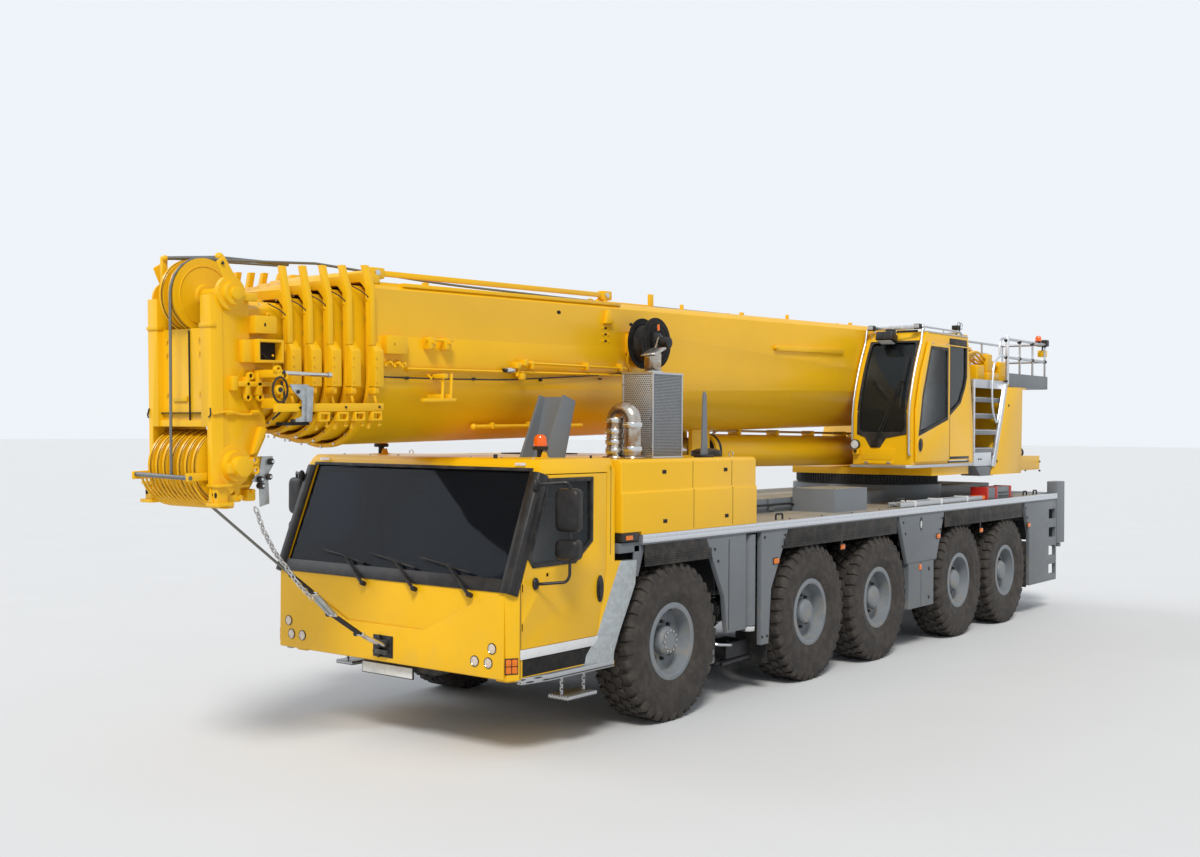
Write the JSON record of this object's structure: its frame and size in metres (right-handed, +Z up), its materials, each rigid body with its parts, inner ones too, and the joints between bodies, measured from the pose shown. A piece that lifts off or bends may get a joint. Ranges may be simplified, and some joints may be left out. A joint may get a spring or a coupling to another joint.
{
  "type": "mobile crane",
  "caption": "Mobile crane with a wide cab, steered wheels, sliding outriggers, a slewing superstructure with its own cab, and a long telescopic boom lowered for travel.",
  "frame": {"origin": "on the ground, below the middle of the whole length and width", "axes": "+Z up, -Y the way the driver faces, +X the left side of the crane"},
  "size_m": [3.59, 15.2338, 4.171],
  "materials": {
    "body_yellow": "gloss",
    "frame_grey": "satin",
    "rim_grey": "satin",
    "winch_grey": "satin",
    "tyre": "matt",
    "jack_steel": "polished",
    "glass": "clear",
    "interior": "matt",
    "engine_iron": "matt",
    "stainless": "brushed"
  },
  "bodies": {
    "carrier": {"chassis_frame": "frame_grey", "axle_beams": "frame_grey", "deck": "frame_grey", "driver_cab_shell": "body_yellow", "driver_cab_glass": "glass", "driver_cab_interior": "interior", "engine_block": "engine_iron", "engine_cover": "body_yellow", "exhaust_stack": "stainless"},
    "wheel_1_left": {"tyre_1_left": "tyre", "rim_1_left": "rim_grey"},
    "knuckle_1_left": {"knuckle_1_left": "frame_grey"},
    "wheel_1_right": {"tyre_1_right": "tyre", "rim_1_right": "rim_grey"},
    "knuckle_1_right": {"knuckle_1_right": "frame_grey"},
    "wheel_2_left": {"tyre_2_left": "tyre", "rim_2_left": "rim_grey"},
    "knuckle_2_left": {"knuckle_2_left": "frame_grey"},
    "wheel_2_right": {"tyre_2_right": "tyre", "rim_2_right": "rim_grey"},
    "knuckle_2_right": {"knuckle_2_right": "frame_grey"},
    "wheel_3_left": {"tyre_3_left": "tyre", "rim_3_left": "rim_grey"},
    "wheel_3_right": {"tyre_3_right": "tyre", "rim_3_right": "rim_grey"},
    "wheel_4_left": {"tyre_4_left": "tyre", "rim_4_left": "rim_grey"},
    "knuckle_4_left": {"knuckle_4_left": "frame_grey"},
    "wheel_4_right": {"tyre_4_right": "tyre", "rim_4_right": "rim_grey"},
    "knuckle_4_right": {"knuckle_4_right": "frame_grey"},
    "wheel_5_left": {"tyre_5_left": "tyre", "rim_5_left": "rim_grey"},
    "knuckle_5_left": {"knuckle_5_left": "frame_grey"},
    "wheel_5_right": {"tyre_5_right": "tyre", "rim_5_right": "rim_grey"},
    "knuckle_5_right": {"knuckle_5_right": "frame_grey"},
    "driver_door_left": {"driver_door_left": "body_yellow"},
    "driver_door_right": {"driver_door_right": "body_yellow"},
    "outrigger_beam_front_left": {"outrigger_beam_front_left": "frame_grey"},
    "outrigger_jack_front_left": {"outrigger_jack_front_left": "jack_steel"},
    "outrigger_beam_front_right": {"outrigger_beam_front_right": "frame_grey"},
    "outrigger_jack_front_right": {"outrigger_jack_front_right": "jack_steel"},
    "outrigger_beam_rear_left": {"outrigger_beam_rear_left": "frame_grey"},
    "outrigger_jack_rear_left": {"outrigger_jack_rear_left": "jack_steel"},
    "outrigger_beam_rear_right": {"outrigger_beam_rear_right": "frame_grey"},
    "outrigger_jack_rear_right": {"outrigger_jack_rear_right": "jack_steel"},
    "turntable": {"turntable": "body_yellow", "crane_cab_shell": "body_yellow", "crane_cab_glass": "glass"},
    "crane_cab_door": {"crane_cab_door": "body_yellow"},
    "winch_drum": {"winch_drum": "winch_grey"},
    "luff_barrel": {"luff_barrel": "body_yellow"},
    "luff_rod": {"luff_rod": "jack_steel"},
    "boom_base": {"boom_base": "body_yellow"},
    "tele_1": {"tele_1": "body_yellow"},
    "tele_2": {"tele_2": "body_yellow"},
    "tele_3": {"tele_3": "body_yellow"},
    "tele_4": {"tele_4": "body_yellow"},
    "tele_5": {"tele_5": "body_yellow"}
  },
  "joints": [
    {"name": "steer_1_left", "type": "hinge", "parent": "carrier", "child": "knuckle_1_left", "pos_m": [1.13, -3.12796, 0.7425], "axis": [0, 0, 1], "range_deg": [-32, 32]},
    {"name": "roll_1_left", "type": "hinge", "parent": "knuckle_1_left", "child": "wheel_1_left", "pos_m": [1.2675, -3.12796, 0.7425], "axis": [1, 0, 0], "continuous": true},
    {"name": "steer_1_right", "type": "hinge", "parent": "carrier", "child": "knuckle_1_right", "pos_m": [-1.13, -3.12796, 0.7425], "axis": [0, 0, 1], "range_deg": [-32, 32]},
    {"name": "roll_1_right", "type": "hinge", "parent": "knuckle_1_right", "child": "wheel_1_right", "pos_m": [-1.2675, -3.12796, 0.7425], "axis": [1, 0, 0], "continuous": true},
    {"name": "steer_2_left", "type": "hinge", "parent": "carrier", "child": "knuckle_2_left", "pos_m": [1.13, -0.47796, 0.7425], "axis": [0, 0, 1], "range_deg": [-25, 25]},
    {"name": "roll_2_left", "type": "hinge", "parent": "knuckle_2_left", "child": "wheel_2_left", "pos_m": [1.2675, -0.47796, 0.7425], "axis": [1, 0, 0], "continuous": true},
    {"name": "steer_2_right", "type": "hinge", "parent": "carrier", "child": "knuckle_2_right", "pos_m": [-1.13, -0.47796, 0.7425], "axis": [0, 0, 1], "range_deg": [-25, 25]},
    {"name": "roll_2_right", "type": "hinge", "parent": "knuckle_2_right", "child": "wheel_2_right", "pos_m": [-1.2675, -0.47796, 0.7425], "axis": [1, 0, 0], "continuous": true},
    {"name": "roll_3_left", "type": "hinge", "parent": "carrier", "child": "wheel_3_left", "pos_m": [1.2675, 1.17204, 0.7425], "axis": [1, 0, 0], "continuous": true},
    {"name": "roll_3_right", "type": "hinge", "parent": "carrier", "child": "wheel_3_right", "pos_m": [-1.2675, 1.17204, 0.7425], "axis": [1, 0, 0], "continuous": true},
    {"name": "steer_4_left", "type": "hinge", "parent": "carrier", "child": "knuckle_4_left", "pos_m": [1.13, 3.57204, 0.7425], "axis": [0, 0, 1], "range_deg": [-18, 18]},
    {"name": "roll_4_left", "type": "hinge", "parent": "knuckle_4_left", "child": "wheel_4_left", "pos_m": [1.2675, 3.57204, 0.7425], "axis": [1, 0, 0], "continuous": true},
    {"name": "steer_4_right", "type": "hinge", "parent": "carrier", "child": "knuckle_4_right", "pos_m": [-1.13, 3.57204, 0.7425], "axis": [0, 0, 1], "range_deg": [-18, 18]},
    {"name": "roll_4_right", "type": "hinge", "parent": "knuckle_4_right", "child": "wheel_4_right", "pos_m": [-1.2675, 3.57204, 0.7425], "axis": [1, 0, 0], "continuous": true},
    {"name": "steer_5_left", "type": "hinge", "parent": "carrier", "child": "knuckle_5_left", "pos_m": [1.13, 5.22204, 0.7425], "axis": [0, 0, 1], "range_deg": [-26, 26]},
    {"name": "roll_5_left", "type": "hinge", "parent": "knuckle_5_left", "child": "wheel_5_left", "pos_m": [1.2675, 5.22204, 0.7425], "axis": [1, 0, 0], "continuous": true},
    {"name": "steer_5_right", "type": "hinge", "parent": "carrier", "child": "knuckle_5_right", "pos_m": [-1.13, 5.22204, 0.7425], "axis": [0, 0, 1], "range_deg": [-26, 26]},
    {"name": "roll_5_right", "type": "hinge", "parent": "knuckle_5_right", "child": "wheel_5_right", "pos_m": [-1.2675, 5.22204, 0.7425], "axis": [1, 0, 0], "continuous": true},
    {"name": "driver_door_left_hinge", "type": "hinge", "parent": "carrier", "child": "driver_door_left", "pos_m": [1.45, -5.26996, 1.635], "axis": [0, 0, -1], "range_deg": [0, 70]},
    {"name": "driver_door_right_hinge", "type": "hinge", "parent": "carrier", "child": "driver_door_right", "pos_m": [-1.45, -5.26996, 1.635], "axis": [0, 0, 1], "range_deg": [0, 70]},
    {"name": "beam_front_left_slide", "type": "slide", "parent": "carrier", "child": "outrigger_beam_front_left", "axis": [1, 0, 0], "range_m": [0, 2.2]},
    {"name": "jack_front_left_slide", "type": "slide", "parent": "outrigger_beam_front_left", "child": "outrigger_jack_front_left", "axis": [0, 0, -1], "range_m": [0, 0.6]},
    {"name": "beam_front_right_slide", "type": "slide", "parent": "carrier", "child": "outrigger_beam_front_right", "axis": [-1, 0, 0], "range_m": [0, 2.2]},
    {"name": "jack_front_right_slide", "type": "slide", "parent": "outrigger_beam_front_right", "child": "outrigger_jack_front_right", "axis": [0, 0, -1], "range_m": [0, 0.6]},
    {"name": "beam_rear_left_slide", "type": "slide", "parent": "carrier", "child": "outrigger_beam_rear_left", "axis": [1, 0, 0], "range_m": [0, 2.2]},
    {"name": "jack_rear_left_slide", "type": "slide", "parent": "outrigger_beam_rear_left", "child": "outrigger_jack_rear_left", "axis": [0, 0, -1], "range_m": [0, 0.78]},
    {"name": "beam_rear_right_slide", "type": "slide", "parent": "carrier", "child": "outrigger_beam_rear_right", "axis": [-1, 0, 0], "range_m": [0, 2.2]},
    {"name": "jack_rear_right_slide", "type": "slide", "parent": "outrigger_beam_rear_right", "child": "outrigger_jack_rear_right", "axis": [0, 0, -1], "range_m": [0, 0.78]},
    {"name": "slew", "type": "hinge", "parent": "carrier", "child": "turntable", "pos_m": [0, 3.77204, 2.15], "axis": [0, 0, 1], "continuous": true},
    {"name": "crane_cab_door_slide", "type": "slide", "parent": "turntable", "child": "crane_cab_door", "axis": [0, 1, 0], "range_m": [0, 0.78]},
    {"name": "winch_turn", "type": "hinge", "parent": "turntable", "child": "winch_drum", "pos_m": [0, 6.43204, 2.76], "axis": [1, 0, 0], "continuous": true},
    {"name": "luff", "type": "hinge", "parent": "turntable", "child": "boom_base", "pos_m": [0, 5.87204, 3.45], "axis": [-1, 0, 0], "range_deg": [0, 82]},
    {"name": "luff_barrel_swing", "type": "hinge", "parent": "turntable", "child": "luff_barrel", "pos_m": [0, 3.67204, 2.44], "axis": [-1, 0, 0], "range_deg": [-0.5, 92.46]},
    {"name": "luff_rod_slide", "type": "slide", "parent": "luff_barrel", "child": "luff_rod", "axis": [0, -1, 0.0091], "range_m": [-0.01, 3.0275]},
    {"name": "tele_1_slide", "type": "slide", "parent": "boom_base", "child": "tele_1", "axis": [0, -0.9997, -0.0227], "range_m": [0, 10.6]},
    {"name": "tele_2_slide", "type": "slide", "parent": "tele_1", "child": "tele_2", "axis": [0, -0.9997, -0.0227], "range_m": [0, 10.6]},
    {"name": "tele_3_slide", "type": "slide", "parent": "tele_2", "child": "tele_3", "axis": [0, -0.9997, -0.0227], "range_m": [0, 10.6]},
    {"name": "tele_4_slide", "type": "slide", "parent": "tele_3", "child": "tele_4", "axis": [0, -0.9997, -0.0227], "range_m": [0, 10.6]},
    {"name": "tele_5_slide", "type": "slide", "parent": "tele_4", "child": "tele_5", "axis": [0, -0.9997, -0.0227], "range_m": [0, 10.6]}
  ],
  "couplings": [
    {"joint": "steer_1_right", "follows": "steer_1_left", "ratio": 1},
    {"joint": "steer_2_left", "follows": "steer_1_left", "ratio": 0.78125},
    {"joint": "steer_2_right", "follows": "steer_1_left", "ratio": 0.78125},
    {"joint": "steer_5_right", "follows": "steer_5_left", "ratio": 1},
    {"joint": "steer_4_left", "follows": "steer_5_left", "ratio": 0.69231},
    {"joint": "steer_4_right", "follows": "steer_5_left", "ratio": 0.69231},
    {"joint": "luff_barrel_swing", "follows": "luff", "ratio": 1.1214},
    {"joint": "luff_rod_slide", "follows": "luff", "m_per_rad": 2.1084}
  ]
}
